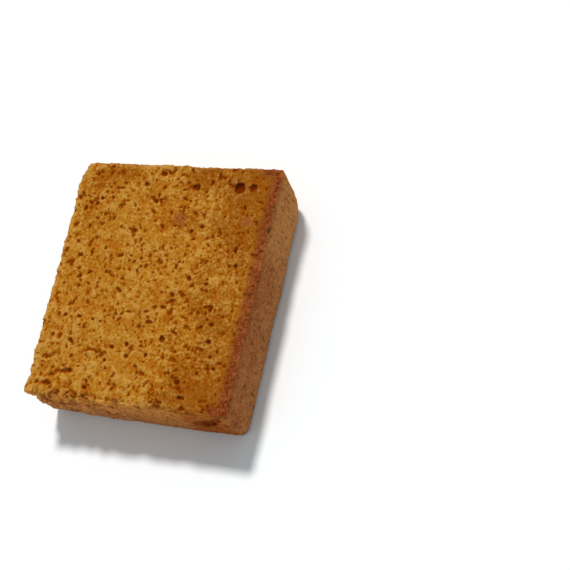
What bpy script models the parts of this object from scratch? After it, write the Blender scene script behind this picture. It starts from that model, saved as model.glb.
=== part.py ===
"""Half a slice of honey cake, lying on one of its two cut faces.

The slice was cut across a baked loaf and then halved. Its upper face and its underside are open crumb, and so is
the side at -X, where it was halved. The side at +X and both ends, at +Y and -Y, are baked crust.
Metres, +Z up. The origin is at the centre of the underside, and +Y runs along the longer side.
"""

import math
import random

import bmesh
import bpy
from mathutils import Euler, Matrix, Quaternion, Vector, noise
from mathutils.bvhtree import BVHTree

MM = 0.001

# The driving sizes.
WIDTH = 72 * MM  # from the halved side at -X to the crust side at +X
LENGTH = 82 * MM  # from the crust end at -Y to the crust end at +Y
THICKNESS = 21.4 * MM

# The plan, seen from above: the halved side runs a little askew, and so does the far end.
HALVED_SIDE_SKEW = 0.8 * MM
FAR_END_SKEW = 0.7 * MM
# How far each upright corner's rounding reaches along X and along Y: at the underside, then at the upper face.
CORNER_REACHES_MM = {  # by the signs of the corner's x and y
    (-1, 1): ((3.6, 10.0), (2.4, 11.0)),
    (1, 1): ((7.0, 7.0), (1.2, 1.2)),
    (1, -1): ((3.0, 2.8), (1.6, 1.6)),
    (-1, -1): ((1.6, 1.6), (0.6, 0.6)),
}

# The lower edges are round, most of all under the far end and at the halved side's end of the near one.
# The upper edge of the crust is a little worn.
HALVED_EDGE_RADIUS = 1.0 * MM
CRUST_EDGE_RADIUS = 2.4 * MM
NEAR_EDGE_RADII = (5.6 * MM, 1.0 * MM)  # at the halved side, and past the middle
FAR_EDGE_RADIUS = 9.0 * MM
FAR_EDGE_SQUEEZE = 0.62  # how far the far end draws in below, as a share of its edge's radius
WORN_EDGE = 0.5 * MM

# The cell grid of the block, with its lines closer together towards the rims and the underside.
CELLS_ACROSS, CELLS_ALONG, CELLS_UP = 25, 29, 7
RIM_CROWDING = 0.5
LEVEL_CROWDING = 1.5

# Unevenness: how far each surface strays, and over what distance.
CRUST_WAVES = (0.30 * MM, 13 * MM)
HALVED_WAVES = (0.40 * MM, 6 * MM)
CUT_FACE_WAVES = (0.38 * MM, 11 * MM)
CRAGS = (0.25 * MM, 4.5 * MM)

# Bubbles that the knife opened. Those that stand out on the upper face: x, y, half length, half width, turn.
BIG_PORES_MM = (
    # Along the far end.
    (22.3, 33.8, 2.0, 1.8, 10),
    (27.2, 34.2, 1.3, 1.0, 40),
    (7.2, 33.2, 1.4, 1.2, 30),
    (3.3, 32.0, 1.4, 0.6, 15),
    (12.3, 35.4, 0.8, 0.6, 0),
    (-5.6, 37.0, 1.5, 0.9, 0),
    (-11.0, 33.2, 1.3, 0.8, -10),
    (-18.9, 33.2, 0.9, 0.7, 10),
    # From there to the middle.
    (-6.1, 27.5, 1.1, 0.9, 0),
    (-17.1, 25.5, 0.9, 0.6, 85),
    (25.6, 27.2, 1.4, 0.6, -60),
    (-31.0, 23.3, 1.0, 0.8, 75),
    (12.6, 20.0, 1.4, 0.6, -20),
    (9.1, 17.9, 0.9, 0.8, 0),
    (-11.3, 16.9, 2.0, 0.7, -5),
    (26.0, 12.7, 1.2, 0.7, 80),
    (-28.2, 6.9, 1.3, 0.9, -5),
    (27.3, 7.6, 0.9, 0.8, 0),
    (19.0, 0.8, 0.9, 0.7, 10),
    # From the middle to the near end.
    (8.3, -3.6, 1.2, 0.8, -15),
    (-10.9, -3.8, 1.5, 0.8, -25),
    (22.4, -7.1, 1.2, 0.8, 85),
    (6.2, -8.1, 1.2, 0.7, -20),
    (24.0, -12.2, 1.1, 0.8, 0),
    (2.9, -13.4, 1.4, 0.7, 0),
    (-22.4, -13.9, 1.0, 0.8, 10),
    (24.7, -17.7, 1.1, 0.8, -35),
    (8.7, -18.5, 1.2, 1.1, 0),
    (-23.0, -22.3, 1.4, 0.7, -35),
    (-8.0, -22.7, 0.9, 0.7, -20),
    (-2.1, -25.2, 1.0, 0.8, -20),
    (28.3, -26.1, 1.0, 0.7, -20),
    # Along the near end.
    (17.5, -31.5, 1.1, 1.0, 0),
    (-22.3, -32.2, 2.9, 0.9, 6),
    (20.0, -36.2, 1.7, 0.8, 5),
    (-28.0, -36.6, 1.4, 1.0, 0),
    (-13.7, -36.8, 1.1, 0.9, 0),
)
PORE_DEPTH = 0.7  # a bubble's radius into the crumb, as a share of its radius along the face
BIG_PORE_SINK = 0.1
LOOSE_PORES = {"upper": 16, "halved": 9, "under": 14}
PORE_RADIUS = (0.55 * MM, 0.8 * MM)
PORE_GAP = 1.8 * MM  # crumb left between two pores
PORE_SINK = (0.0, 0.3)  # how far below the face a bubble's middle lies, as a share of its radius
RIM_MARGIN = 4.5 * MM  # no pore lies nearer than this to an edge
RESTING_SPOT = 7 * MM  # radius round the origin where the underside stays whole
SEED = 20

# From where each open face is met, and the way into the crumb.
FACES = {
    "upper": Vector((0, 0, -1)),
    "halved": Vector((1, 0, 0)),
    "under": Vector((0, 0, 1)),
}

# The torn place in the crust of the near end, and the notch in the worn upper edge: middle, radii, turn.
TEAR_MM = ((25.5, -40.9, 11.3), (6.2, 1.7, 2.6), (0, -37, 4))
NOTCH_MM = ((36.0, 20.5, 20.2), (1.4, 1.7, 1.4), (0, 0, 0))


def clear_scene():
    for obj in list(bpy.data.objects):
        bpy.data.objects.remove(obj)


def collection_named(name):
    made = bpy.data.collections.new(name)
    bpy.context.scene.collection.children.link(made)
    return made


def crumb_material():
    material = bpy.data.materials.new("honey_cake_crumb")
    material.use_nodes = True
    shader = material.node_tree.nodes["Principled BSDF"]
    shader.inputs["Base Color"].default_value = (0.42, 0.17, 0.03, 1)
    shader.inputs["Roughness"].default_value = 0.85
    shader.inputs["Metallic"].default_value = 0
    return material


def blend(a, b, share):
    return a + (b - a) * share


def crowded(t):
    """t from -1 to 1, moved so that even steps become shorter towards both ends."""
    return blend(t, math.sin(math.pi * t / 2), RIM_CROWDING)


def drawn_in(height, radius):
    """How far a lower edge of this radius has drawn in, at a height above the underside."""
    if height >= radius:
        return 0.0
    return radius - math.sqrt(radius**2 - (radius - height) ** 2)


def near_edge_radius(across):
    """The near end's lower edge, which is cut away ever more from its middle to the halved side."""
    cut_away, plain = NEAR_EDGE_RADII
    return blend(plain, cut_away, max(0, -across) ** 1.5)


def plan_point(across, along, height):
    """The place of a grid point in the slice's plan at a height, before its corners are rounded."""
    left = -WIDTH / 2 - HALVED_SIDE_SKEW * along + drawn_in(height, HALVED_EDGE_RADIUS)
    right = WIDTH / 2 - drawn_in(height, CRUST_EDGE_RADIUS)
    near = -LENGTH / 2 + drawn_in(height, near_edge_radius(across))
    far = LENGTH / 2 + FAR_END_SKEW * across - FAR_EDGE_SQUEEZE * drawn_in(height, FAR_EDGE_RADIUS)
    x = blend(left, right, (crowded(across) + 1) / 2)
    y = blend(near, far, (crowded(along) + 1) / 2)
    return x, y, (left, right), (near, far)


def with_round_corners(x, y, height, xs, ys):
    """Moves a point that lies in a corner's rectangle onto that corner's quarter of an ellipse."""
    for (sign_x, sign_y), (below, above) in CORNER_REACHES_MM.items():
        reach_x, reach_y = (blend(low, high, height / THICKNESS) * MM for low, high in zip(below, above))
        corner = xs[sign_x > 0], ys[sign_y > 0]
        p = 1 - (corner[0] - x) * sign_x / reach_x
        q = 1 - (corner[1] - y) * sign_y / reach_y
        if p > 0 and q > 0:
            x = corner[0] - sign_x * reach_x * (1 - p * math.sqrt(1 - q * q / 2))
            y = corner[1] - sign_y * reach_y * (1 - q * math.sqrt(1 - p * p / 2))
    return x, y


def waves(place, size, shift):
    """Smooth unevenness, from -reach to +reach, that changes over the given distance."""
    reach, distance = size
    return reach * noise.noise(place / distance + Vector((shift, 0, 0)))


def roughened(place, across, along, up):
    """Adds each surface's unevenness. The underside keeps its height, so that the slice lies flat."""
    x, y, z = place
    if abs(across) == 1:
        size = CRUST_WAVES if across > 0 else HALVED_WAVES
        x += waves(place, size, 3) + (waves(place, CRAGS, 5) if across < 0 else 0)
    if abs(along) == 1:
        y += waves(place, CRUST_WAVES, 9)
    if up == 1:
        z += waves(place, CUT_FACE_WAVES, 0) + waves(place, CRAGS, 7)
        if across == 1 or along == -1:
            z -= WORN_EDGE
    return Vector((x, y, z))


def block():
    """A closed block of cells: a grid, raised to the slice's height, with level lines round its sides."""
    shape = bmesh.new()
    bmesh.ops.create_grid(shape, x_segments=CELLS_ACROSS, y_segments=CELLS_ALONG, size=1)
    bmesh.ops.reverse_faces(shape, faces=shape.faces)
    raised = bmesh.ops.extrude_face_region(shape, geom=shape.faces[:], use_keep_orig=True)
    upper = [part for part in raised["geom"] if isinstance(part, bmesh.types.BMVert)]
    bmesh.ops.translate(shape, verts=upper, vec=(0, 0, 1))
    upright = [edge for edge in shape.edges if edge.verts[0].co.z != edge.verts[1].co.z]
    bmesh.ops.subdivide_edges(shape, edges=upright, cuts=CELLS_UP - 1, use_grid_fill=True)
    bmesh.ops.recalc_face_normals(shape, faces=shape.faces)
    return shape


def shaped(shape):
    """Moves the block's points to the slice's form."""
    for vert in shape.verts:
        across, along, up = (round(value, 4) for value in vert.co)
        height = THICKNESS * up**LEVEL_CROWDING
        x, y, xs, ys = plan_point(across, along, height)
        x, y = with_round_corners(x, y, height, xs, ys)
        vert.co = roughened(Vector((x, y, height)), across, along, up)


def fitted(shape):
    """Brings the uneven block back to its driving sizes, standing over the origin."""
    for axis, size in enumerate((WIDTH, LENGTH, THICKNESS)):
        places = [vert.co[axis] for vert in shape.verts]
        low, high = min(places), max(places)
        start = 0 if axis == 2 else -size / 2
        for vert in shape.verts:
            vert.co[axis] = start + (vert.co[axis] - low) * size / (high - low)


def slice_object(collection):
    shape = block()
    shaped(shape)
    fitted(shape)
    mesh = bpy.data.meshes.new("honey_cake_slice")
    shape.to_mesh(mesh)
    faces = BVHTree.FromBMesh(shape)
    shape.free()
    cake = bpy.data.objects.new("honey_cake_slice", mesh)
    cake.data.materials.append(crumb_material())
    collection.objects.link(cake)
    return cake, faces


def below_face(faces, face, place, depth):
    """The point at this depth under one of the open faces, in line with a place inside the slice."""
    inward = FACES[face]
    met, *_ = faces.ray_cast(place - inward * LENGTH, inward)
    return met + inward * depth


def big_pores(faces):
    """The named bubbles of the upper face, as (middle, radii, turn)."""
    for x, y, long_half, short_half, turn in BIG_PORES_MM:
        middle = below_face(faces, "upper", Vector((x, y, 0)) * MM, BIG_PORE_SINK * short_half * MM)
        radii = Vector((long_half, short_half, PORE_DEPTH * short_half)) * MM
        yield middle, radii, Euler((0, 0, math.radians(turn)))


def loose_pore(faces, face, draw):
    """One bubble at random on an open face."""
    radius = draw.uniform(*PORE_RADIUS)
    x = draw.uniform(-1, 1) * (WIDTH / 2 - RIM_MARGIN)
    y = draw.uniform(-1, 1) * (LENGTH / 2 - RIM_MARGIN)
    z = draw.uniform(RIM_MARGIN, THICKNESS - RIM_MARGIN)
    middle = below_face(faces, face, Vector((x, y, z)), radius * draw.uniform(*PORE_SINK))
    radii = Vector((radius * draw.uniform(0.9, 1.4), radius, radius * PORE_DEPTH))
    return middle, radii, (-FACES[face]).to_track_quat("Z", "Y") @ Quaternion((0, 0, 1), draw.uniform(0, math.pi))


def clear_of(pore, others):
    middle, radii, _ = pore
    return all((middle - m).length > max(radii) + max(r) + PORE_GAP for m, r, _ in others)


def all_pores(faces):
    """Every bubble that the knife opened, none touching another."""
    draw = random.Random(SEED)
    pores = list(big_pores(faces))
    for face, count in LOOSE_PORES.items():
        wanted = len(pores) + count
        while len(pores) < wanted:
            pore = loose_pore(faces, face, draw)
            over_the_spot = face == "under" and pore[0].xy.length < RESTING_SPOT
            if clear_of(pore, pores) and not over_the_spot:
                pores.append(pore)
    for middle, radii, turn in (TEAR_MM, NOTCH_MM):
        turned = Euler([math.radians(angle) for angle in turn])
        pores.append((Vector(middle) * MM, Vector(radii) * MM, turned))
    return pores


def pore_cutter(faces, collection):
    """All the bubbles as one mesh of stretched spheres."""
    shape = bmesh.new()
    for middle, radii, turn in all_pores(faces):
        stretched = Matrix.LocRotScale(middle, turn, radii)
        bmesh.ops.create_icosphere(shape, subdivisions=2, radius=1, matrix=stretched)
    mesh = bpy.data.meshes.new("bubbles")
    shape.to_mesh(mesh)
    shape.free()
    cutter = bpy.data.objects.new("bubbles", mesh)
    cutter.hide_render = True
    cutter.display_type = "WIRE"
    collection.objects.link(cutter)
    return cutter


def main():
    clear_scene()
    cake, faces = slice_object(collection_named("honey_cake"))
    opened = cake.modifiers.new("opened_bubbles", "BOOLEAN")
    opened.operation = "DIFFERENCE"
    opened.object = pore_cutter(faces, collection_named("cutters"))


main()
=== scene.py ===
# %% [markdown]
# # A half slice of honey cake
#
# This lesson dresses one piece of food: half a slice of honey cake, lying on one of its two cut faces. A
# real slice is a single lump of baked batter. What makes it look like cake is its surface. The knife has
# opened over a thousand bubbles on each cut face, the crumb between them is golden and browned in patches,
# and a crust runs round the three baked sides.
#
# The plan is to keep the measured solid as it is, take a copy of its mesh, and work the crumb into that
# copy.

# %% The tools of this lesson
import math
import random

import bmesh
import bpy
import numpy as np
from mathutils import Euler, Matrix, Vector, kdtree


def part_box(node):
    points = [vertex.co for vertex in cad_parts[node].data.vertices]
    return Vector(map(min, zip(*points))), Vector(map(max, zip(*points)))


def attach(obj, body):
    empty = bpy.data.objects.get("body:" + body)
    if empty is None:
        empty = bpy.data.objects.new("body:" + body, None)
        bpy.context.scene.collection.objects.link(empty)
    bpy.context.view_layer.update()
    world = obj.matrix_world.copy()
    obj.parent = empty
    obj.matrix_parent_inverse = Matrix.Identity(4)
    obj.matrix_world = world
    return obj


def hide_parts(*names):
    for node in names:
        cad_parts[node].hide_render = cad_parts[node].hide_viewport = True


MM = 0.001

# %% The measured slice
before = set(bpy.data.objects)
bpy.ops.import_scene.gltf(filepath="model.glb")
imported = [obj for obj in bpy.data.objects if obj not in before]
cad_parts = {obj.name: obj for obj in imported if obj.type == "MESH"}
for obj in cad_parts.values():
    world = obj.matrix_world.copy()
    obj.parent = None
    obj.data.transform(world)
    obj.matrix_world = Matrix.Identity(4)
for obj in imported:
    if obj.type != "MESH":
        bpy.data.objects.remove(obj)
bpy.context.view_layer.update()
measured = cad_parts["honey_cake_slice"]
LOW, HIGH = (Vector(corner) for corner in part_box("honey_cake_slice"))
print("slice, in mm:", [round(size / MM, 1) for size in HIGH - LOW])

# %% [markdown]
# ## The camera
#
# The picture looks down on the cut face from the front and the right, with a long lens. The camera goes
# first. It is placed by the direction from which it looks, by its distance, and by how far it is rolled
# about its own line of sight.

# %% The camera
LENS_MM = 91.6
SENSOR_MM = 36
LOOKS_AT = Vector((40.4, 6.5, 10.5)) * MM
VIEW_DISTANCE = 451.4 * MM
VIEW_AZIMUTH, VIEW_ELEVATION, VIEW_ROLL = (math.radians(angle) for angle in (52.2, 60.0, -42.95))


def pointing(azimuth, elevation):
    """The unit vector towards this azimuth, from -Y to +X, and this elevation above the floor."""
    flat = math.cos(elevation)
    return Vector((math.sin(azimuth) * flat, -math.cos(azimuth) * flat, math.sin(elevation)))


def place_camera():
    """Adds the camera, turned to what it looks at and then rolled."""
    lens = bpy.data.cameras.new("camera")
    lens.lens = LENS_MM
    lens.sensor_width = SENSOR_MM
    camera = bpy.data.objects.new("camera", lens)
    back = pointing(VIEW_AZIMUTH, VIEW_ELEVATION)
    turned = (-back).to_track_quat("-Z", "Y").to_matrix().to_4x4()
    rolled = turned @ Matrix.Rotation(VIEW_ROLL, 4, "Z")
    camera.matrix_world = Matrix.Translation(LOOKS_AT + back * VIEW_DISTANCE) @ rolled
    bpy.context.scene.collection.objects.link(camera)
    bpy.context.scene.camera = camera
    return camera


camera = place_camera()
print("camera at, in mm:", [round(part / MM) for part in camera.location])

# %% [markdown]
# ## A finer skin for the slice
#
# The measured solid has flat facets a few millimetres wide, far too coarse for bubbles half a millimetre
# across. Subdividing would keep its long triangles. A voxel remesh lays a new even skin of small squares
# over the same form instead, so that every spot of the crumb has points to move. A little smoothing after
# it rounds the rims of the pores, because crumb has no sharp edges.

# %% A fine copy of the slice
SKIN_VOXEL = 0.27 * MM
SKIN_ROUNDS = 2
WELD = 0.001 * MM


def applied(piece):
    """Replaces a piece's mesh with what its modifiers make of it."""
    graph = bpy.context.evaluated_depsgraph_get()
    finished = bpy.data.meshes.new_from_object(piece.evaluated_get(graph))
    rough = piece.data
    piece.modifiers.clear()
    piece.data = finished
    bpy.data.meshes.remove(rough)
    return piece


def fine_copy(node, name):
    """A piece with the form of a measured solid and a fine, even skin."""
    shape = bmesh.new()
    shape.from_mesh(node.data)
    bmesh.ops.remove_doubles(shape, verts=shape.verts, dist=WELD)
    mesh = bpy.data.meshes.new(name)
    shape.to_mesh(mesh)
    shape.free()
    piece = bpy.data.objects.new(name, mesh)
    bpy.context.scene.collection.objects.link(piece)
    skin = piece.modifiers.new("skin", "REMESH")
    skin.mode = "VOXEL"
    skin.voxel_size = SKIN_VOXEL
    rounded = piece.modifiers.new("rounded", "SMOOTH")
    rounded.iterations = SKIN_ROUNDS
    return applied(piece)


cake = fine_copy(measured, "honey_cake")
print("skin:", len(cake.data.vertices), "points")

# %% [markdown]
# ## Which side is which
#
# Each side of the slice gets another surface, so every point needs to know where it lies. A much smoothed
# copy of the skin has forgotten the pores, so its normals say which way each side faces. From them come two
# facts for each point: the way straight into the cake, and how far it lies from the baked crust.

# %% Points as arrays
def read(rows, name, width=1):
    """One property of a mesh's points or faces as an array."""
    values = np.empty(len(rows) * width, np.float32)
    rows.foreach_get(name, values)
    return values.reshape(-1, width) if width > 1 else values


def write_points(mesh, places):
    """Moves a mesh's points to these places."""
    mesh.vertices.foreach_set("co", np.asarray(places, np.float32).ravel())
    mesh.update()


def relaxed(piece, rounds):
    """Where the points would lie after this much smoothing, and which way the skin would face there."""
    soft = piece.modifiers.new("relaxed", "SMOOTH")
    soft.factor = 0.5
    soft.iterations = rounds
    graph = bpy.context.evaluated_depsgraph_get()
    smoothed = piece.evaluated_get(graph)
    mesh = smoothed.to_mesh()
    found = read(mesh.vertices, "co", 3), read(mesh.vertices, "normal", 3)
    smoothed.to_mesh_clear()
    piece.modifiers.remove(soft)
    return found


def tree_of(places):
    """A search tree that finds the points near a place."""
    tree = kdtree.KDTree(len(places))
    for index, place in enumerate(places):
        tree.insert(place, index)
    tree.balance()
    return tree


# %% The baked sides
CALM_ROUNDS = 60
BAKED_REACH = 6.5 * MM  # how far a baked side's surface lies inside the slice's box at most
FACES_OUT = 0.55  # how much of its normal points sideways there
UPPER_BAND = 0.8 * MM  # points this near the cut face's height count as crumb


def baked_points(places, normals):
    """Which points lie on a baked side: at +X, at +Y or at -Y."""
    x, y, z = places.T
    sideways = (
        (normals[:, 0] > FACES_OUT) & (x > HIGH.x - BAKED_REACH)
        | (normals[:, 1] > FACES_OUT) & (y > HIGH.y - BAKED_REACH)
        | (normals[:, 1] < -FACES_OUT) & (y < LOW.y + BAKED_REACH)
    )
    return sideways & (z < HIGH.z - UPPER_BAND)


def distance_to(places, chosen):
    """How far each point lies from the nearest chosen one."""
    tree = tree_of(places[chosen])
    return np.array([tree.find(place)[2] for place in places], np.float32)


skin_places = read(cake.data.vertices, "co", 3)
calm_places, calm_normals = relaxed(cake, CALM_ROUNDS)
baked = baked_points(calm_places, calm_normals)
from_crust = distance_to(skin_places, baked)
print("on the baked sides:", int(baked.sum()), "of", len(baked), "points")

# %% [markdown]
# ## Unevenness
#
# Between its pores a cut face isn't flat: the knife dragged it into slow waves, and the foam of the crumb
# gives it a fine lumpiness. Displace modifiers make both, with cloud textures and one of small cells. Some
# of them move the skin sideways instead of in and out, which bends the round pores of the solid into uneven
# ones and frays the crumb at the near end. Each modifier works through a vertex group, because the crust,
# the torn crumb at the near end and the upper rim are rough in other ways. The tip of the torn corner is
# left out of the torn, rim, ragged and frayed groups, so that it stays sharp.

# %% Where each relief applies
CRUMB, LEVEL, HALVED, CRUST = "crumb", "level", "halved", "crust"
TORN, RIM, RAGGED_END, FRAYED = "torn", "rim", "ragged_end", "frayed"
CRUST_EDGE = 0.6 * MM  # over this distance the crust's relief gives way to the crumb's
TORN_CORNER = Vector((-36, -41, 21.4)) * MM
TORN_REACH = 34 * MM
TORN_SPREAD = (0.6, 1.3, 1.0)  # how fast it fades along X, Y and Z
RIM_WIDTH = 3.5 * MM
TIP_REACH = 3.5 * MM
TEAR_MIDDLE, TEAR_RADII = Vector((25.8, -41.2, 11.4)) * MM, Vector((8.5, 4.0, 4.4)) * MM
TEAR_TURN = Euler((0, math.radians(-37), math.radians(4))).to_matrix()


def eased(values, start, end):
    """0 at the start, 1 at the end, and a straight passage between them."""
    return np.clip((values - start) / (end - start), 0, 1)


def fading(distance, reach):
    """1 near by, falling to 0 a little past the reach."""
    return np.clip(1.2 - distance / reach, 0, 1)


def off_tip(places):
    """0 at the very tip of the torn corner, which stays sharp, and 1 a few millimetres from it."""
    return eased(np.linalg.norm(places - np.array(TORN_CORNER), axis=1), 0, TIP_REACH)


def torn_share(places):
    """How rough the crumb is: 1 near the corner where the knife came out, fading along the near end."""
    away = (places - np.array(TORN_CORNER)) * TORN_SPREAD
    return off_tip(places) * fading(np.linalg.norm(away, axis=1), TORN_REACH)


def rim_share(places):
    """1 at the upper rim, fading over the cut face and down the sides."""
    from_sides = np.minimum(places - np.array(LOW), np.array(HIGH) - places)[:, :2].min(axis=1)
    from_top = HIGH.z - places[:, 2]
    return off_tip(places) * fading(np.hypot(from_sides, from_top), RIM_WIDTH)


def tear_share(places):
    """1 inside the torn place of the near end's crust, and 0 outside it."""
    away = (places - np.array(TEAR_MIDDLE)) @ np.array(TEAR_TURN) / np.array(TEAR_RADII)
    return np.clip(2 - 2 * np.linalg.norm(away, axis=1), 0, 1)


def ragged_end_share(places, normals):
    """1 on the near end where its crust broke up: towards the halved side, and in the torn place."""
    x, _, z = places.T / MM
    broken = np.maximum(eased(x, 6, -12) * eased(z, 4, 10), tear_share(places))
    return off_tip(places) * eased(-normals[:, 1], 0.3, 0.7) * broken


def frayed_share(places):
    """1 where the crumb frayed along the top of the near end, towards the halved side."""
    x, y, z = places.T / MM
    return off_tip(places) * eased(y, -37, -40) * eased(z, 11, 17) * eased(x, 10, -10)


# %% Groups for the relief
WEIGHT_STEPS = 10  # a group takes all points of one weight at once, so the weights go in steps


def add_group(piece, name, weights):
    """Gives a piece a vertex group with these weights."""
    group = piece.vertex_groups.new(name=name)
    steps = np.round(np.clip(weights, 0, 1) * WEIGHT_STEPS).astype(int)
    for step in range(1, WEIGHT_STEPS + 1):
        group.add(np.flatnonzero(steps == step).tolist(), step / WEIGHT_STEPS, "REPLACE")


crumb_share = eased(from_crust, 0, CRUST_EDGE)
add_group(cake, CRUMB, crumb_share)
add_group(cake, LEVEL, crumb_share * eased(np.abs(calm_normals[:, 2]), 0.4, 0.8))
add_group(cake, HALVED, crumb_share * eased(-calm_normals[:, 0], 0.4, 0.8))
add_group(cake, CRUST, 1 - crumb_share)
add_group(cake, TORN, torn_share(skin_places))
add_group(cake, RIM, rim_share(skin_places))
add_group(cake, RAGGED_END, ragged_end_share(skin_places, calm_normals))
add_group(cake, FRAYED, frayed_share(skin_places))
print("groups:", [group.name for group in cake.vertex_groups])


# %% Relief from textures
def add_relief(piece, kind, size, height, group, middle=0.5, direction="NORMAL", **settings):
    """Moves the skin by this height in all, by a texture whose features are this large."""
    texture = bpy.data.textures.new(kind.lower(), kind)
    texture.noise_scale = size
    for name, value in settings.items():
        setattr(texture, name, value)
    relief = piece.modifiers.new(kind.lower(), "DISPLACE")
    relief.texture = texture
    relief.texture_coords = "LOCAL"
    relief.direction = direction
    relief.strength = height
    relief.mid_level = middle
    relief.vertex_group = group


add_relief(cake, "CLOUDS", 1.5 * MM, 0.60 * MM, LEVEL, direction="X")
add_relief(cake, "CLOUDS", 1.3 * MM, 0.60 * MM, LEVEL, direction="Y")
add_relief(cake, "CLOUDS", 1.9 * MM, 0.80 * MM, HALVED, direction="Y")
add_relief(cake, "CLOUDS", 1.6 * MM, 0.80 * MM, HALVED, direction="Z")
add_relief(cake, "CLOUDS", 7 * MM, 0.35 * MM, CRUMB, noise_depth=1)
add_relief(cake, "CLOUDS", 1.2 * MM, 0.30 * MM, CRUMB, noise_depth=3)
add_relief(cake, "VORONOI", 1.3 * MM, 0.12 * MM, CRUMB, middle=0.4)
add_relief(cake, "CLOUDS", 3.2 * MM, 1.20 * MM, TORN, noise_depth=1)
add_relief(cake, "CLOUDS", 1.8 * MM, 0.55 * MM, TORN, noise_depth=1)
add_relief(cake, "CLOUDS", 1.7 * MM, 0.95 * MM, RIM, noise_depth=2)
add_relief(cake, "CLOUDS", 2.6 * MM, 1.80 * MM, RAGGED_END, noise_depth=2)
add_relief(cake, "CLOUDS", 1.8 * MM, 1.40 * MM, RAGGED_END, direction="X")
add_relief(cake, "CLOUDS", 1.5 * MM, 1.40 * MM, RAGGED_END, direction="Z")
add_relief(cake, "CLOUDS", 2.4 * MM, 2.50 * MM, FRAYED, middle=0.4, direction="Y")
add_relief(cake, "CLOUDS", 1.3 * MM, 1.20 * MM, FRAYED, noise_depth=1)
add_relief(cake, "CLOUDS", 9 * MM, 0.35 * MM, CRUST, noise_depth=1)
add_relief(cake, "CLOUDS", 1.3 * MM, 0.34 * MM, CRUST, noise_depth=2)
applied(cake)
print("relief: moved", len(cake.data.vertices), "points")

# %% [markdown]
# ## Bubbles
#
# The solid has only the largest pores. A real cut face of this size shows over a thousand more, most of
# them less than a millimetre across. Cutting each one out with a Boolean would take minutes, so the skin is
# pressed in instead: every point within a bubble's outline moves inwards, as far as the bubble's far wall.
# Their outlines are wobbly, since no bubble in a batter is round. A bubble's crumb is painted darker than
# the
# rest, some more than others: partly a darker crumb, partly painted shade in the hollow. So its tone is
# noted beside its depth.

# %% Where bubbles lie
SEED = 11
DARK_FROM = (0.02 * MM, 0.25 * MM)  # between these depths the solid's own pores turn dark
OWN_TONE = 1.2  # the tone of a large pore, where 1 is the darkest of the small bubbles
CLUSTERED = 0.18  # the share of bubbles that lie close beside the last one
CLUSTER_SPREAD = 0.9 * MM
RAY_START = 0.2  # in metres, so that every ray starts well outside the slice
LEAST_FACING = 0.3  # how squarely the skin must face a ray to take a bubble
INWARD = {
    "upper": Vector((0, 0, -1)),
    "under": Vector((0, 0, 1)),
    "halved": Vector((1, 0, 0)),
    "crust": Vector((-1, 0, 0)),
    "near": Vector((0, 1, 0)),
    "far": Vector((0, -1, 0)),
}


def spots(piece, side, count, draw):
    """Places spread at random over one side of a piece, each where a straight ray meets its skin."""
    inward = INWARD[side]
    found = []
    while len(found) < count:
        if found and draw.random() < CLUSTERED:
            aim = found[-1] + Vector(draw.gauss(0, CLUSTER_SPREAD) for _ in range(3))
        else:
            aim = Vector(draw.uniform(low, high) for low, high in zip(LOW, HIGH))
        met, place, normal, _ = piece.ray_cast(aim - inward * RAY_START, inward)
        if met and normal.dot(inward) < -LEAST_FACING:
            found.append(place)
    return found


# %% The form of one bubble
MOST_STRETCH = 1.35
TWO_LOBES, THREE_LOBES = 0.14, 0.11  # how far the outline sways in and out, as shares of the reach
BLUNT = 0.6  # a power below 1, which gives bubbles steep walls and tears blunt ends
DARK_CORE, HALO = 0.7, 1.5  # where a bubble's dark tone begins to fade and where it ends: 1 is its outline
WIDEST = 2.2  # how far from its middle a bubble can reach at most, as a share of its reach


def outline_distance(offsets, inward, reach, draw):
    """For points near a bubble, 0 at its middle and 1 on its wobbly outline, measured across the way in."""
    side = inward.orthogonal().normalized()
    across = np.array([side, inward.cross(side)])
    turn = draw.uniform(0, 2 * math.pi)
    stretch = draw.uniform(1, MOST_STRETCH)
    u, v = across @ offsets.T
    u, v = u * math.cos(turn) + v * math.sin(turn), v * math.cos(turn) - u * math.sin(turn)
    angle = np.arctan2(v, u)
    wobble = 1 + TWO_LOBES * np.sin(2 * angle + turn) + THREE_LOBES * np.sin(3 * angle + 2 * turn)
    return np.hypot(u / stretch, v * stretch) / (reach * wobble)


def press(centres, kind, draw, sink, tone):
    """Adds bubbles of one kind: how far each point sinks, and how dark it turns."""
    reaches, depths, tones = kind
    for centre in centres:
        reach = draw.uniform(*reaches) * MM
        near = [index for _, index, _ in skin_tree.find_range(centre, reach * WIDEST)]
        if not near:
            continue
        inward = -Vector(calm_normals[near[0]]).normalized()
        distance = outline_distance(skin_places[near] - np.array(centre), inward, reach, draw)
        depth = reach * draw.uniform(*depths) * np.clip(1 - distance**2, 0, 1) ** BLUNT
        shade = draw.uniform(*tones) * np.clip((HALO - distance) / (HALO - DARK_CORE), 0, 1)
        sink[near] = np.maximum(sink[near], depth)
        tone[near] = np.maximum(tone[near], shade)


# %% Pressing bubbles in
BUBBLE_KINDS = {  # reach in mm, depth as a share of the reach, tone
    "wide": ((0.60, 0.80), (0.40, 0.60), (0.6, 1.0)),
    "middling": ((0.40, 0.60), (0.50, 0.80), (0.4, 1.0)),
    "small": ((0.30, 0.42), (0.40, 0.75), (0.1, 0.8)),
    "pinprick": ((0.25, 0.40), (0.50, 0.90), (0.3, 1.0)),
}
BUBBLES = {
    "upper": {"wide": 70, "middling": 460, "small": 1100},
    "under": {"wide": 70, "middling": 400, "small": 600},
    "halved": {"wide": 20, "middling": 110, "small": 200},
    "crust": {"middling": 12, "pinprick": 450},
    "near": {"wide": 10, "middling": 60, "small": 120, "pinprick": 200},
    "far": {"middling": 25, "small": 80, "pinprick": 300},
}

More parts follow.
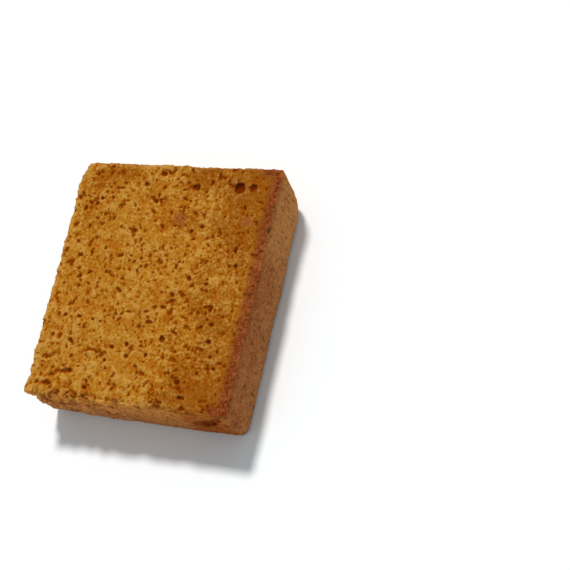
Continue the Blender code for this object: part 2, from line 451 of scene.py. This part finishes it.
draw = random.Random(SEED)
skin_tree = tree_of(skin_places)
sink = np.zeros(len(skin_places), np.float32)
own_depth = ((calm_places - skin_places) * calm_normals).sum(axis=1)
# Painted shade: the deeper a point lies below the calm skin, the darker it is painted.
tone = OWN_TONE * eased(own_depth, *DARK_FROM)
for side, kinds in BUBBLES.items():
    for kind, count in kinds.items():
        press(spots(cake, side, count, draw), BUBBLE_KINDS[kind], draw, sink, tone)
pressed = read(cake.data.vertices, "co", 3) - calm_normals * sink[:, None]
print("bubbles: deepest", round(float(sink.max()) / MM, 2), "mm")

# %% [markdown]
# ## Torn ledges
#
# Near the corner of the halved side and the near end the crumb tore as the knife came out: flaps of it
# stand up, with a dark slit under each. A few smaller slits lie elsewhere, two of them beside the largest
# pore, which they make uneven. Each is a line on the cut face. Along the line the crumb drops away, in
# front of it it lifts a little, and both fade out with the distance.

# %% Tears in the crumb
TEARS_MM = (  # from, to, depth and width of the slit
    ((-27.0, -33.4), (-23.2, -32.2), 0.3, 1.0),
    ((-22.4, -32.2), (-18.8, -31.6), 0.15, 0.8),
    ((-30.6, -37.4), (-25.4, -36.2), 0.15, 0.9),
    ((-17.8, -24.7), (-11.0, -24.3), 0.5, 0.6),
    ((-31.8, -28.9), (-26.3, -26.6), 0.4, 0.7),
    ((-24.5, -21.4), (-21.0, -23.4), 0.5, 0.6),
    ((-21.0, -39.2), (-16.0, -39.0), 0.6, 0.7),
    ((-26.5, -40.3), (-22.5, -40.2), 0.6, 0.6),
    ((9.4, -39.4), (11.2, -37.9), 0.7, 0.6),
    ((11.2, -37.9), (14.0, -39.4), 0.7, 0.6),
    ((12.0, -28.8), (14.6, -29.5), 0.6, 0.5),
    ((16.0, -33.0), (20.8, -34.2), 0.5, 0.6),
    ((27.4, -37.6), (28.3, -40.4), 0.5, 0.5),
    ((25.9, 10.9), (26.6, 15.6), 0.5, 0.5),
    ((18.9, 33.6), (21.4, 34.6), 0.5, 0.8),
    ((21.2, 31.9), (24.2, 32.6), 0.3, 0.6),
)
UPPER_REACH = 3 * MM
LIP_SHARE, LIP_OFFSET = 0.35, 2.0  # the lip's height as a share of the depth, and its place in slit widths
SWAYS = ((0.35, 9, 40), (0.2, 23, 70))  # how far in mm a slit sways, how fast, and its start by depth
TEAR_TONE = 0.75


def tear_open(places, start, end, depth, width):
    """How much each point of the cut face sinks in one tear, and how much it rises beside it."""
    start, end = np.array(start) * MM, np.array(end) * MM
    length = np.linalg.norm(end - start)
    along = (end - start) / length
    offset = places[:, :2] - start
    share = offset @ along / length
    wander = sum(size * MM * np.sin(share * speed + depth * shift) for size, speed, shift in SWAYS)
    aside = (offset @ np.array((-along[1], along[0])) + wander) / (width * MM)
    upper = places[:, 2] > HIGH.z - UPPER_REACH
    held = upper * np.clip(4 * share * (1 - share), 0, 1) ** BLUNT * depth * MM
    return held * np.exp(-(aside**2)), held * LIP_SHARE * np.exp(-((aside + LIP_OFFSET) ** 2))


for tear in TEARS_MM:
    slit, lip = tear_open(skin_places, *tear)
    pressed[:, 2] += lip - slit
    # Painted shade: each slit is painted dark by its depth, as the shade under its flap.
    tone = np.maximum(tone, TEAR_TONE * slit / slit.max())
print("tears:", len(TEARS_MM))

# %% [markdown]
# ## Crumb gone from the near end
#
# Along its upper edge, and here and there below it, crumbs broke off the near end and left gaps, which look
# darker and redder than the crust around them. Cutting them out would give them hard rims, so the skin
# sinks in softly here too, along Y. At the tip, where the halved side and the near end meet the cut face,
# the knife dragged the last crumbs outwards, so the points there are pulled the same way.

# %% Gaps and the tip
GAPS_MM = (  # middle in X and Z, half width, half height and depth of each gap
    (-19.0, 17.2, 1.5, 2.8, 1.6),
    (-27.0, 18.2, 3.0, 1.3, 1.3),
    (-30.6, 13.0, 1.4, 2.0, 0.9),
    (-24.2, 13.6, 1.5, 1.2, 0.7),
    (-22.8, 20.6, 1.6, 0.9, 1.2),
    (-14.6, 14.0, 1.3, 1.6, 0.8),
    (-12.4, 20.8, 1.2, 0.8, 1.0),
    (-9.8, 17.0, 1.5, 1.1, 0.9),
    (-5.8, 15.2, 1.0, 0.9, 0.6),
    (-2.0, 20.6, 1.4, 0.7, 0.7),
    (12.4, 20.8, 1.6, 0.9, 0.9),
    (22.0, 10.2, 1.8, 1.0, 0.8),
    (30.8, 16.4, 1.8, 1.1, 0.9),
    (28.0, 8.0, 1.6, 0.8, 0.6),
    (32.4, 12.0, 0.8, 1.4, 0.6),
)
END_REACH = 4 * MM  # how far in from the near end the skin still moves
GAP_TONE = 0.9
GAP_FLATNESS = 4  # a high power, which gives a gap a level floor
TIP_PULL = Vector((-1.1, -1.1, 0.5)) * MM


def gap(places, x, z, half_width, half_height, depth):
    """How far each point of the near end sinks in where crumb broke away."""
    across = np.hypot((places[:, 0] / MM - x) / half_width, (places[:, 2] / MM - z) / half_height)
    at_the_end = eased(places[:, 1], LOW.y + END_REACH, LOW.y)
    return depth * MM * at_the_end * np.exp(-(across**GAP_FLATNESS))


for gap_mm in GAPS_MM:
    sunk = gap(skin_places, *gap_mm)
    pressed[:, 1] += sunk
    # Painted shade: each gap is painted darker by its depth.
    tone = np.maximum(tone, GAP_TONE * sunk / sunk.max())

pressed += np.array(TIP_PULL) * (1 - off_tip(skin_places))[:, None]
write_points(cake.data, pressed)
print("gaps:", len(GAPS_MM))

# %% [markdown]
# ## Fewer triangles where nothing happens
#
# The even skin spends as many points on the flat crust as on the crumb. The Decimate modifier merges them
# where the surface is plain and leaves them where it is rough. At last every point is kept inside the
# measured box, and the underside is flat where the slice rests.

# %% Thinning the skin
MOST_TRIANGLES = 190_000


def thinned(piece, most):
    """Merges points where a piece is plain, until it has at most this many triangles."""
    piece.data.calc_loop_triangles()
    thin = piece.modifiers.new("thinned", "DECIMATE")
    thin.ratio = min(1, most / len(piece.data.loop_triangles))
    return applied(piece)


thinned(cake, MOST_TRIANGLES)
kept_inside = np.clip(read(cake.data.vertices, "co", 3), np.array(LOW), np.array(HIGH))
write_points(cake.data, kept_inside)
cake.data.shade_smooth()
on_cut_face = read(cake.data.polygons, "center", 3)[:, 2] > HIGH.z - UPPER_REACH
print("triangles:", len(cake.data.polygons), "and on the cut face:", int(on_cut_face.sum()))

# %% [markdown]
# ## What the finish needs to know
#
# A few facts about each point are stored on the mesh, where the material can read them: how dark the
# bubbles make it, partly as painted shade, how deep it lies in a hollow, how far it is from the crust, how
# much the oven browned it, and whether it lies where the crumb is smeared, in one of two large pores
# painted dark, or torn. A loaf never browns evenly, so the browner and the paler patches of the cut face
# each get a place.

# %% Patches of the cut face
PATCHES_MM = (  # x, y, reach, and how much browner, or paler where it is negative
    (-28, 36, 7, 0.9),
    (-19, 38, 5, 0.7),
    (-8, 28, 4, 0.5),
    (6, 34, 5, 0.7),
    (10, 39, 5, 0.6),
    (29, 36, 5, 1.1),
    (3, 21, 6, 0.9),
    (-31, 22, 4, 0.8),
    (-30, 17, 4, 0.6),
    (24, 27, 4, 0.5),
    (26, 15, 3, 0.7),
    (-16, 5, 5, 0.8),
    (-30, 4, 5, 0.6),
    (16, 6, 3, 0.5),
    (-12, -3, 4, 0.5),
    (-29, -8, 4, 0.5),
    (8, -5, 3, 0.6),
    (16, -7, 5, 0.5),
    (22, -11, 4, 0.8),
    (9, -14, 3, 0.7),
    (8, -21, 4, 0.5),
    (17, -31, 6, 0.9),
    (27, -35, 6, 0.7),
    (-28, -37, 4, 0.8),
    (-22, -31, 4, 0.6),
    (-13, -37, 4, 0.6),
    (-18, 29, 4, -0.5),
    (-12, 22, 5, -0.5),
    (14, 28, 4, -0.6),
    (-12, 12, 4, -0.7),
    (-6, 9, 4, -0.4),
    (14, 12, 6, -0.5),
    (2, 4, 7, -0.6),
    (22, 3, 4, -0.5),
    (-8, -8, 6, -0.7),
    (17, -13, 3, -0.6),
    (3, -17, 3, -0.4),
    (-24, -25, 5, -0.9),
    (-29, -13, 4, -0.4),
    (2, -35, 5, -0.5),
    (-14, -30, 6, -0.8),
)
SMEARS_MM = ((27.2, 22.8, 1.9), (4.4, 22.0, 2.2))  # where the knife pressed the crumb smooth: x, y, reach
HOLES_MM = ((22.2, 33.8, 1.9), (27.0, 34.0, 1.3))  # two large pores whose walls are painted reddish-dark, painted shade in part: x, y, reach


def patch(places, x, y, reach):
    """1 at a place of the cut face, fading out over the reach."""
    away = places[:, :2] / MM - (x, y)
    return np.exp(-(away**2).sum(axis=1) / reach**2)


def browning(places):
    """How much browner the patches make each point."""
    return sum(amount * patch(places, x, y, reach) for x, y, reach, amount in PATCHES_MM)


# %% Facts on the mesh
HOLLOW_ROUNDS = 24
DIP_ROUNDS = 90


def hollowness(piece, rounds):
    """How far each point lies below the face that this much smoothing would leave, in millimetres."""
    places = read(piece.data.vertices, "co", 3)
    soft_places, soft_normals = relaxed(piece, rounds)
    return ((soft_places - places) * soft_normals).sum(axis=1) / MM


places = read(cake.data.vertices, "co", 3)
pressed_tree = tree_of(pressed)
came_from = [pressed_tree.find(place)[1] for place in places]
in_upper_half = places[:, 2] > HIGH.z / 2
FACTS = {
    "pore": tone[came_from],
    "hollow": hollowness(cake, HOLLOW_ROUNDS),
    "dip": hollowness(cake, DIP_ROUNDS),
    "from_crust": from_crust[came_from] / MM,
    "browned": browning(places),
    "smear": in_upper_half * sum(patch(places, *smear) for smear in SMEARS_MM),
    "hole": in_upper_half * sum(patch(places, *hole) for hole in HOLES_MM),
    "tear": tear_share(places),
}
for name, values in FACTS.items():
    fact = cake.data.attributes.new(name, "FLOAT", "POINT")
    fact.data.foreach_set("value", np.asarray(values, np.float32))
    print(name, np.round(np.percentile(values, (1, 25, 50, 75, 99)), 2))

# %% [markdown]
# ## Mixing the finish
#
# The finish is built from shader nodes. To keep the sums readable, a small class wraps a node's socket, so
# that ordinary + - * on it add the Math nodes.

# %% Sums with sockets
class Value:
    """A shader socket that can stand in a sum: each operator adds its Math node."""

    def __init__(self, recipe, socket):
        self.recipe = recipe
        self.socket = socket

    def math(self, operation, first, second):
        """The outcome of a Math node with this operation."""
        return self.recipe.node("ShaderNodeMath", {"operation": operation}, {0: first, 1: second})

    def __add__(self, other):
        return self.math("ADD", self, other)

    def __sub__(self, other):
        return self.math("SUBTRACT", self, other)

    def __rsub__(self, other):
        return self.math("SUBTRACT", other, self)

    def __mul__(self, other):
        return self.math("MULTIPLY", self, other)

    __radd__ = __add__
    __rmul__ = __mul__

    def sibling(self, output):
        """Another output of the same node."""
        return Value(self.recipe, self.socket.node.outputs[output])


# %% Mixing one material
class Recipe:
    """A material under way."""

    def __init__(self, name):
        self.material = bpy.data.materials.new(name)
        self.material.use_nodes = True
        self.tree = self.material.node_tree
        self.shader = self.tree.nodes["Principled BSDF"]

    def node(self, kind, settings=None, sockets=None, output=0):
        """Adds a node, sets it up, links or sets its sockets, and returns one of its outputs."""
        made = self.tree.nodes.new(kind)
        for name, setting in (settings or {}).items():
            setattr(made, name, setting)
        for name, value in (sockets or {}).items():
            self.feed(made.inputs[name], value)
        return Value(self, made.outputs[output])

    def feed(self, socket, value):
        """Links a value to a socket, or sets the socket to a plain number or colour."""
        if isinstance(value, Value):
            self.tree.links.new(value.socket, socket)
        else:
            socket.default_value = value

    def fact(self, name):
        """A fact that is stored on the mesh."""
        return self.node("ShaderNodeAttribute", {"attribute_name": name}, output=2)

    def ease(self, value, low, high):
        """0 below low, 1 above high, and a soft passage between them. High may be the lower one."""
        ends = {"Value": value, "From Min": low, "From Max": high}
        return self.node("ShaderNodeMapRange", {"interpolation_type": "SMOOTHSTEP"}, ends)

    def noise(self, place, size, detail=2.0, rough=0.5):
        """Soft random grey about 0, whose patches are about this many millimetres wide."""
        sockets = {"Vector": place, "Scale": 1 / size, "Detail": detail, "Roughness": rough}
        return self.node("ShaderNodeTexNoise", {}, sockets) - 0.5

    def dots(self, place, size, edge, core):
        """Soft round dips, about this many millimetres apart: 1 within the core, 0 beyond the edge."""
        settings = {"feature": "F1", "voronoi_dimensions": "3D"}
        distance = self.node("ShaderNodeTexVoronoi", settings, {"Vector": place, "Scale": 1 / size})
        return self.ease(distance, edge, core)

    def mix(self, factor, first, second):
        """The first colour, turning into the second as the factor goes from 0 to 1."""
        return self.node("ShaderNodeMix", {"data_type": "RGBA"}, {0: factor, 6: first, 7: second}, 2)


# %% Colours
def colour(red, green, blue):
    """A colour given as on a colour picker, 0 to 255, as the linear values that a shader takes."""
    def linear(part):
        part /= 255
        return part / 12.92 if part <= 0.04045 else ((part + 0.055) / 1.055) ** 2.4
    return linear(red), linear(green), linear(blue), 1.0


# %% [markdown]
# ## The finish of the cake
#
# Honey and spice give the crumb its golden tan, which is never even: it turns orange in random patches and
# paler in others, and broad dips are painted oranger and the broad rises the knife left paler, as painted
# shade and light. It browns towards the crust. The crust is a darker, redder brown where it is cut through,
# and on its outside a dull tan full of pinpricks. One recipe makes it all, because it is one lump of cake,
# and the passages from one finish to the next are ragged. Crumb isn't quite opaque either: a little of the
# light comes out again beside where it fell, most of it red, and warms the hollows.

# %% The crumb's finish
GOLDEN = colour(172, 113, 26)
PALE = colour(190, 142, 64)
ORANGE = colour(160, 80, 2)
BROWNED = colour(134, 70, 10)
FINE_DARK = colour(144, 84, 8)
FINE_PALE = colour(206, 150, 76)
PORE_BROWN = colour(114, 48, 0)
PORE_DARK = colour(101, 37, 0)
PORE_DEEP = colour(106, 32, 0)
SMEARED = colour(146, 78, 38)
HOLE_BROWN = colour(112, 42, 2)


def crumb_finish(recipe, place, x, y, patches, blotches, flecks, fine):
    """The colour of the open crumb, with its bubbles and its browned patches."""
    ease, noise, mix, fact = recipe.ease, recipe.noise, recipe.mix, recipe.fact
    drifts = noise(place, 4.2, 2.0, 0.5)
    # The dip fact adds painted shade and light: broad dips turn orange, broad rises pale.
    warm = drifts * 1.0 + blotches * 1.1 + flecks * 1.3 + fact("dip") * 1.2 + fact("browned") * 0.15
    crumb = mix(ease(warm, 0.02, 0.34) * 0.9, GOLDEN, ORANGE)
    crumb = mix(ease(warm, 0.0, -0.35) * 0.9, crumb, PALE)
    crumb = mix(ease(fine, 0.02, -0.2) * 0.4, crumb, FINE_DARK)
    crumb = mix(ease(fine, 0.02, 0.2) * 0.42, crumb, FINE_PALE)

    # Browned towards the crust and in patches.
    right = ease(x, 0.0, 26.0) * 0.7
    left = ease(x, -26.0, -35.0) * 0.25 + ease(x, 0.0, -20.0) * ease(y, -10.0, -30.0) * 0.2
    far = ease(y, 5.0, 22.0) * 0.22 + ease(y, 24.0, 37.0) * 0.10
    near = ease(y, -31.0, -39.0) * ease(x, -10.0, 12.0) * 0.45
    toasted = ease(right + far + near - left + fact("browned") * 0.5 + patches * 0.6, 0.0, 1.3)
    toasted = ease(toasted + blotches * 1.1 + flecks * 1.6, 0.05, 1.0)
    crumb = mix(toasted * 0.7, crumb, BROWNED)
    crumb = mix(toasted * ease(flecks * 0.9 + fine * 0.6, 0.08, 0.22) * 0.6, crumb, PORE_BROWN)
    crumb = mix(ease(fact("smear"), 0.1, 0.8) * 0.8, crumb, SMEARED)

    # Darker in every bubble and hollow: partly a darker crumb, partly painted shade, the deeper the darker.
    # Painted dark dots stand for the shade of pores too small for the mesh. Two of the largest pores get
    # reddish-dark walls, painted shade in part.
    pore_tint = mix(toasted, PORE_BROWN, PORE_DARK)
    crumb = mix(recipe.dots(place, 1.3, 0.36, 0.14) * 0.3, crumb, pore_tint)
    crumb = mix(ease(fact("pore"), 0.0, 0.45) * 0.55, crumb, ORANGE)
    crumb = mix(ease(fact("pore"), 0.12, 1.0) * 0.85, crumb, pore_tint)
    crumb = mix(ease(fact("pore"), 0.9, 1.4) * 0.7, crumb, PORE_DEEP)
    crumb = mix(ease(fact("hollow"), 0.06, 0.30) * 0.9, crumb, pore_tint)
    deepest = ease(fact("hollow") + ease(fact("dip"), 0.3, 0.7) * 0.4, 0.25, 0.60)
    crumb = mix(deepest * 0.75, crumb, PORE_DEEP)
    return mix(ease(fact("hole") + flecks * 0.8, 0.2, 0.5) * 0.9, crumb, HOLE_BROWN)


# %% The crust's finish
SEAM_RED = colour(112, 46, 18)
SEAM_BROWN = colour(152, 84, 44)
CRUST_TAN = colour(183, 123, 66)
CRUST_BROWN = colour(157, 94, 51)
CRUST_PALE = colour(206, 152, 98)
END_HIGH = colour(201, 130, 57)
END_LOW = colour(183, 117, 63)
SPECK_BROWN = colour(106, 50, 16)
TEAR_BROWN = colour(146, 66, 20)
SCORCHED = colour(162, 90, 36)
END_RED = colour(240, 158, 92)
# Painted light: the hanging crumb is paler than elsewhere, as if its lumps caught the lamp.
LIT_HANGING_CRUMB = colour(228, 150, 70)


def crust_finish(recipe, place, x, y, z, at_end, patches, blotches, flecks, fine):
    """The colour of the baked sides, with their pinpricks and the broken crust of the near end."""
    ease, mix, fact = recipe.ease, recipe.mix, recipe.fact
    baked_more = ease(y, 24.0, 6.0) * 0.75 + patches * 1.2 + blotches * 1.2
    crust = mix(ease(baked_more, -0.1, 0.9), CRUST_TAN, CRUST_BROWN)
    crust = mix(ease(flecks, 0.02, 0.2) * 0.35, crust, CRUST_PALE)
    # Painted light: the side is paler towards the bottom, as bounce light from the floor.
    crust = mix(ease(z, 15.0, 2.0) * 0.2, crust, CRUST_PALE)
    # Painted light: the near end is lighter towards the top, where its rounded edge would catch more light.
    crust = mix(at_end, crust, mix(ease(z, 5.0, 19.0), END_LOW, END_HIGH))
    speckled = ease(y, 22.0, 8.0) * ease(patches, -0.15, 0.1)
    specks = recipe.dots(place, 1.2, 0.44, 0.18) * (0.08 + speckled * 0.4)
    crust = mix(specks, crust, SPECK_BROWN)
    crust = mix(ease(fine, -0.02, -0.2) * 0.5, crust, SPECK_BROWN)
    # Painted shade: pinpricks and hollows of the crust are painted darker by their depth.
    crust = mix(fact("pore") * (0.3 + speckled * 0.5), crust, SPECK_BROWN)
    crust = mix(ease(fact("hollow"), 0.0, 0.22) * 0.7, crust, SPECK_BROWN)

    # Reddish at the near end, where its crust broke up.
    scorched = ease(blotches * 0.7 + patches * 0.5, -0.04, 0.10) * (0.25 + ease(x, 0.0, -14.0) * 0.6)
    crust = mix(at_end * scorched, crust, END_RED)
    redder = ease(flecks + blotches, 0.02, 0.16) * ease(x, -2.0, -16.0)
    crust = mix(at_end * redder * 0.55, crust, SEAM_RED)
    corner = ease(x + blotches * 12.0, 15.0, 22.0)
    crust = mix(at_end * corner * 0.75, crust, SCORCHED)
    crust = mix(at_end * corner * ease(blotches + flecks, -0.02, 0.12) * 0.75, crust, TEAR_BROWN)
    torn_off = ease(fact("tear") + blotches * 1.8 + flecks * 1.8, 0.35, 0.8)
    crust = mix(at_end * torn_off * 0.9, crust, TEAR_BROWN)
    # Painted shade: bubbles and gaps at the near end are painted dark red.
    return mix(at_end * fact("pore") * 0.5, crust, SEAM_RED)


# %% The whole recipe
CAKE_SOCKETS = {
    "Roughness": 0.9,
    "Specular IOR Level": 0.01,
    "Subsurface Weight": 0.2,
    "Subsurface Radius": (1.0, 0.35, 0.1),  # how far red, green and blue light gets, in the scale below
    "Subsurface Scale": 0.8 * MM,
}
BUMP_STRENGTH, BUMP_HEIGHT = 0.6, 0.4 * MM


def cake_finish():
    """The one material of the slice: crumb, seam and crust, joined by ragged passages."""
    recipe = Recipe("honey_cake_crumb")
    node, ease, noise, mix, fact = recipe.node, recipe.ease, recipe.noise, recipe.mix, recipe.fact
    place = node("ShaderNodeTexCoord", output=3)
    place = node("ShaderNodeVectorMath", {"operation": "SCALE"}, {0: place, "Scale": 1 / MM})
    x = node("ShaderNodeSeparateXYZ", {}, {0: place})
    y, z = x.sibling(1), x.sibling(2)
    patches = noise(place, 9.0, 2.0, 0.5)
    blotches = noise(place, 1.9, 3.0, 0.6)
    flecks = noise(place, 1.0, 2.0, 0.6)
    fine = noise(place, 0.45, 2.0, 0.6)
    at_end = ease(y, -38.0, -39.5) * ease(x, 34.8, 32.0)
    crumb = crumb_finish(recipe, place, x, y, patches, blotches, flecks, fine)
    crust = crust_finish(recipe, place, x, y, z, at_end, patches, blotches, flecks, fine)

    # The dark seam where the crust at +X is cut through, and its worn upper rim, with painted shade along
    # the very top edge, where the rounded rim would catch the lamp.
    from_crust = fact("from_crust")
    ragged = blotches * 5.0 + flecks * 3.0
    seam_tint = mix(ease(flecks * 0.9 + blotches * 0.6, -0.10, 0.10), SEAM_RED, SEAM_BROWN)
    seam_tint = mix(ease(patches + blotches * 1.4, 0.0, 0.25) * 0.6, seam_tint, PORE_DARK)
    # Painted shade: pores in the seam are painted darker.
    seam_tint = mix(fact("pore") * 0.6, seam_tint, PORE_DARK)
    seam = ease(from_crust + ragged * 0.9, 4.3, 1.5) * ease(x, 27.0, 31.0)
    # The second term is painted shade on the rim's top edge.
    rim = (ease(z + ragged * 0.5, 17.5, 20.0) + ease(z, 20.0, 20.9)) * ease(x, 31.0, 34.5)
    crust = mix(rim * 0.38, crust, seam_tint)
    crumb = mix(seam * 0.9, crumb, seam_tint)

    # Torn crumb shows along the near end's upper edge, and hangs over its crust. Its lumps are painted
    # paler on top and darker red between them, as painted light and shade.
    lumps = noise(place, 2.2, 1.0, 0.4)
    frayed = ease(y, -37.0, -39.5) * ease(x, 12.0, -6.0) * ease(z, 21.0, 19.4)
    crumb = mix(frayed * ease(lumps - fact("hollow") * 0.5, -0.12, 0.08) * 0.7, crumb, LIT_HANGING_CRUMB)
    crumb = mix(frayed * ease(lumps, -0.02, -0.16) * 0.5, crumb, SEAM_RED)
    crust = mix(at_end * ease(z + ragged * 0.4, 19.8, 20.6) * 0.8, crust, crumb)
    hanging = ease(z + ragged * 0.8 + lumps * 9.0, 15.0, 18.0) * ease(x + ragged * 3.0, 10.0, -12.0)
    lit_hanging_crumb = mix(ease(lumps, -0.10, 0.08) * 0.7, crumb, LIT_HANGING_CRUMB)
    crust = mix(at_end * hanging * 0.85, crust, lit_hanging_crumb)
    outside = ease(from_crust, 0.5, 0.15)
    recipe.feed(recipe.shader.inputs["Base Color"], mix(outside, crumb, crust))

    grain = noise(place, 0.25, 3.0, 0.65)
    relief = fine * 0.7 + grain * 0.3 + flecks * 0.6 - fact("pore") * 0.4
    bumps = {"Strength": BUMP_STRENGTH, "Distance": BUMP_HEIGHT, "Height": relief}
    recipe.feed(recipe.shader.inputs["Normal"], node("ShaderNodeBump", {}, bumps))
    for socket, value in CAKE_SOCKETS.items():
        recipe.feed(recipe.shader.inputs[socket], value)
    return recipe.material


cake.data.materials.clear()
cake.data.materials.append(cake_finish())
print("finish:", len(cake.data.materials[0].node_tree.nodes), "nodes")

# %% [markdown]
# ## Floor and light
#
# The floor is a plain pale sheet. One lamp stands high behind the slice, to its left, a little large so
# that the shadow has a soft edge, and the rest comes evenly from all round, as from the white walls of a
# studio.

# %% Floor
FLOOR_SIZE = 6.0
FLOOR_LEVEL = -0.05 * MM  # a hair under the slice, so that no two faces share a plane
PAPER_WHITE = (0.895, 0.92, 0.93, 1)
PAPER_ROUGHNESS = 0.9


def make_floor():
    """A large flat sheet of pale paper."""
    shape = bmesh.new()
    bmesh.ops.create_grid(shape, x_segments=1, y_segments=1, size=FLOOR_SIZE / 2)
    bmesh.ops.translate(shape, verts=shape.verts, vec=(0, 0, FLOOR_LEVEL))
    mesh = bpy.data.meshes.new("floor")
    shape.to_mesh(mesh)
    shape.free()
    floor = bpy.data.objects.new("floor", mesh)
    bpy.context.scene.collection.objects.link(floor)
    paint = bpy.data.materials.new("floor_paper")
    paint.use_nodes = True
    shader = paint.node_tree.nodes["Principled BSDF"]
    shader.inputs["Base Color"].default_value = PAPER_WHITE
    shader.inputs["Roughness"].default_value = PAPER_ROUGHNESS
    mesh.materials.append(paint)
    return floor


floor = make_floor()

# %% Light
KEY_FROM = Vector((-0.16, 0.49, 0.86))
KEY_STRENGTH = 2.6
KEY_SIZE = math.radians(9)
FILL_STRENGTH = 0.43
KEY_COLOUR = (1.03, 1.0, 0.985)
FILL_COLOUR = (0.93, 0.995, 1.02, 1)


def light_the_scene():
    """Adds the lamp and the even light from all round."""
    lamp = bpy.data.lights.new("key", "SUN")
    lamp.energy = KEY_STRENGTH
    lamp.color = KEY_COLOUR
    lamp.angle = KEY_SIZE
    key = bpy.data.objects.new("key", lamp)
    key.rotation_euler = KEY_FROM.to_track_quat("Z", "Y").to_euler()
    bpy.context.scene.collection.objects.link(key)
    world = bpy.data.worlds.new("studio")
    world.use_nodes = True
    world.node_tree.nodes["Background"].inputs["Color"].default_value = FILL_COLOUR
    world.node_tree.nodes["Background"].inputs["Strength"].default_value = FILL_STRENGTH
    bpy.context.scene.world = world
    bpy.context.scene.view_settings.view_transform = "Standard"


light_the_scene()

# %% [markdown]
# ## Handing the piece over
#
# The dressed cake stands for the measured solid and moves with the same body.

# %% The finished slice
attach(cake, "root")
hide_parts("honey_cake_slice")
